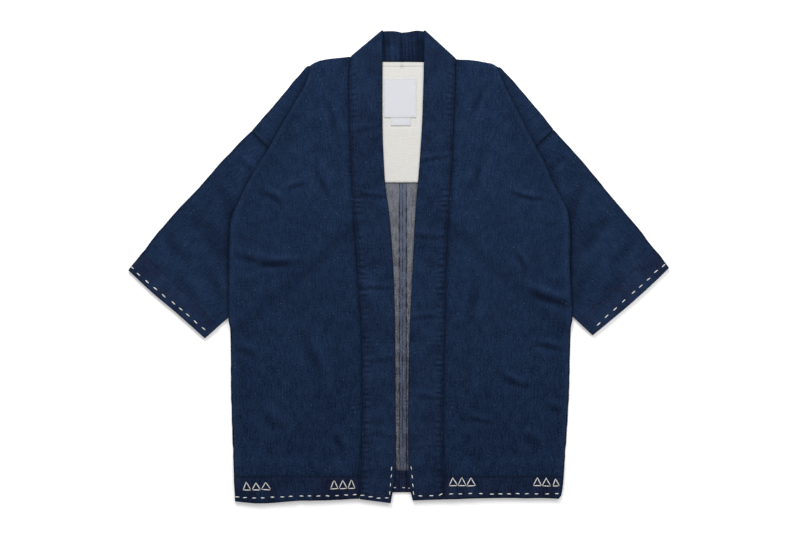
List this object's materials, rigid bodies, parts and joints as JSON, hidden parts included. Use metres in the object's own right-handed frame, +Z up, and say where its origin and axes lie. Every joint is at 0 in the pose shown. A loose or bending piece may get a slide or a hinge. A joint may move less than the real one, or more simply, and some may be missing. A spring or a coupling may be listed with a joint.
{
  "type": "kimono coat",
  "caption": "Short indigo denim kimono coat laid flat with its fronts open, straight sleeves turned down, a long collar band and a pale yoke lining.",
  "frame": {"origin": "centre of the garment's bounding box, on the surface that it lies on", "axes": "+X towards the right in the view from above, +Y towards the neck, +Z up from the surface"},
  "size_m": [0.971, 0.8464, 0.0095],
  "materials": {
    "denim": "indigo twill denim, right side, matt",
    "denim_band": "indigo twill denim, doubled and stitched flat",
    "denim_wrong_side": "indigo twill denim, pale weft side, matt",
    "lining": "off-white cotton canvas",
    "label": "white woven twill, blank"
  },
  "bodies": {
    "root": {"back_left": "denim_wrong_side", "back_right": "denim_wrong_side", "front_left": "denim", "front_right": "denim", "sleeve_left": "denim", "sleeve_right": "denim", "collar_left": "denim_band", "collar_right": "denim_band", "lining_yoke": "lining", "label_main": "label", "label_small": "label"}
  },
  "joints": []
}
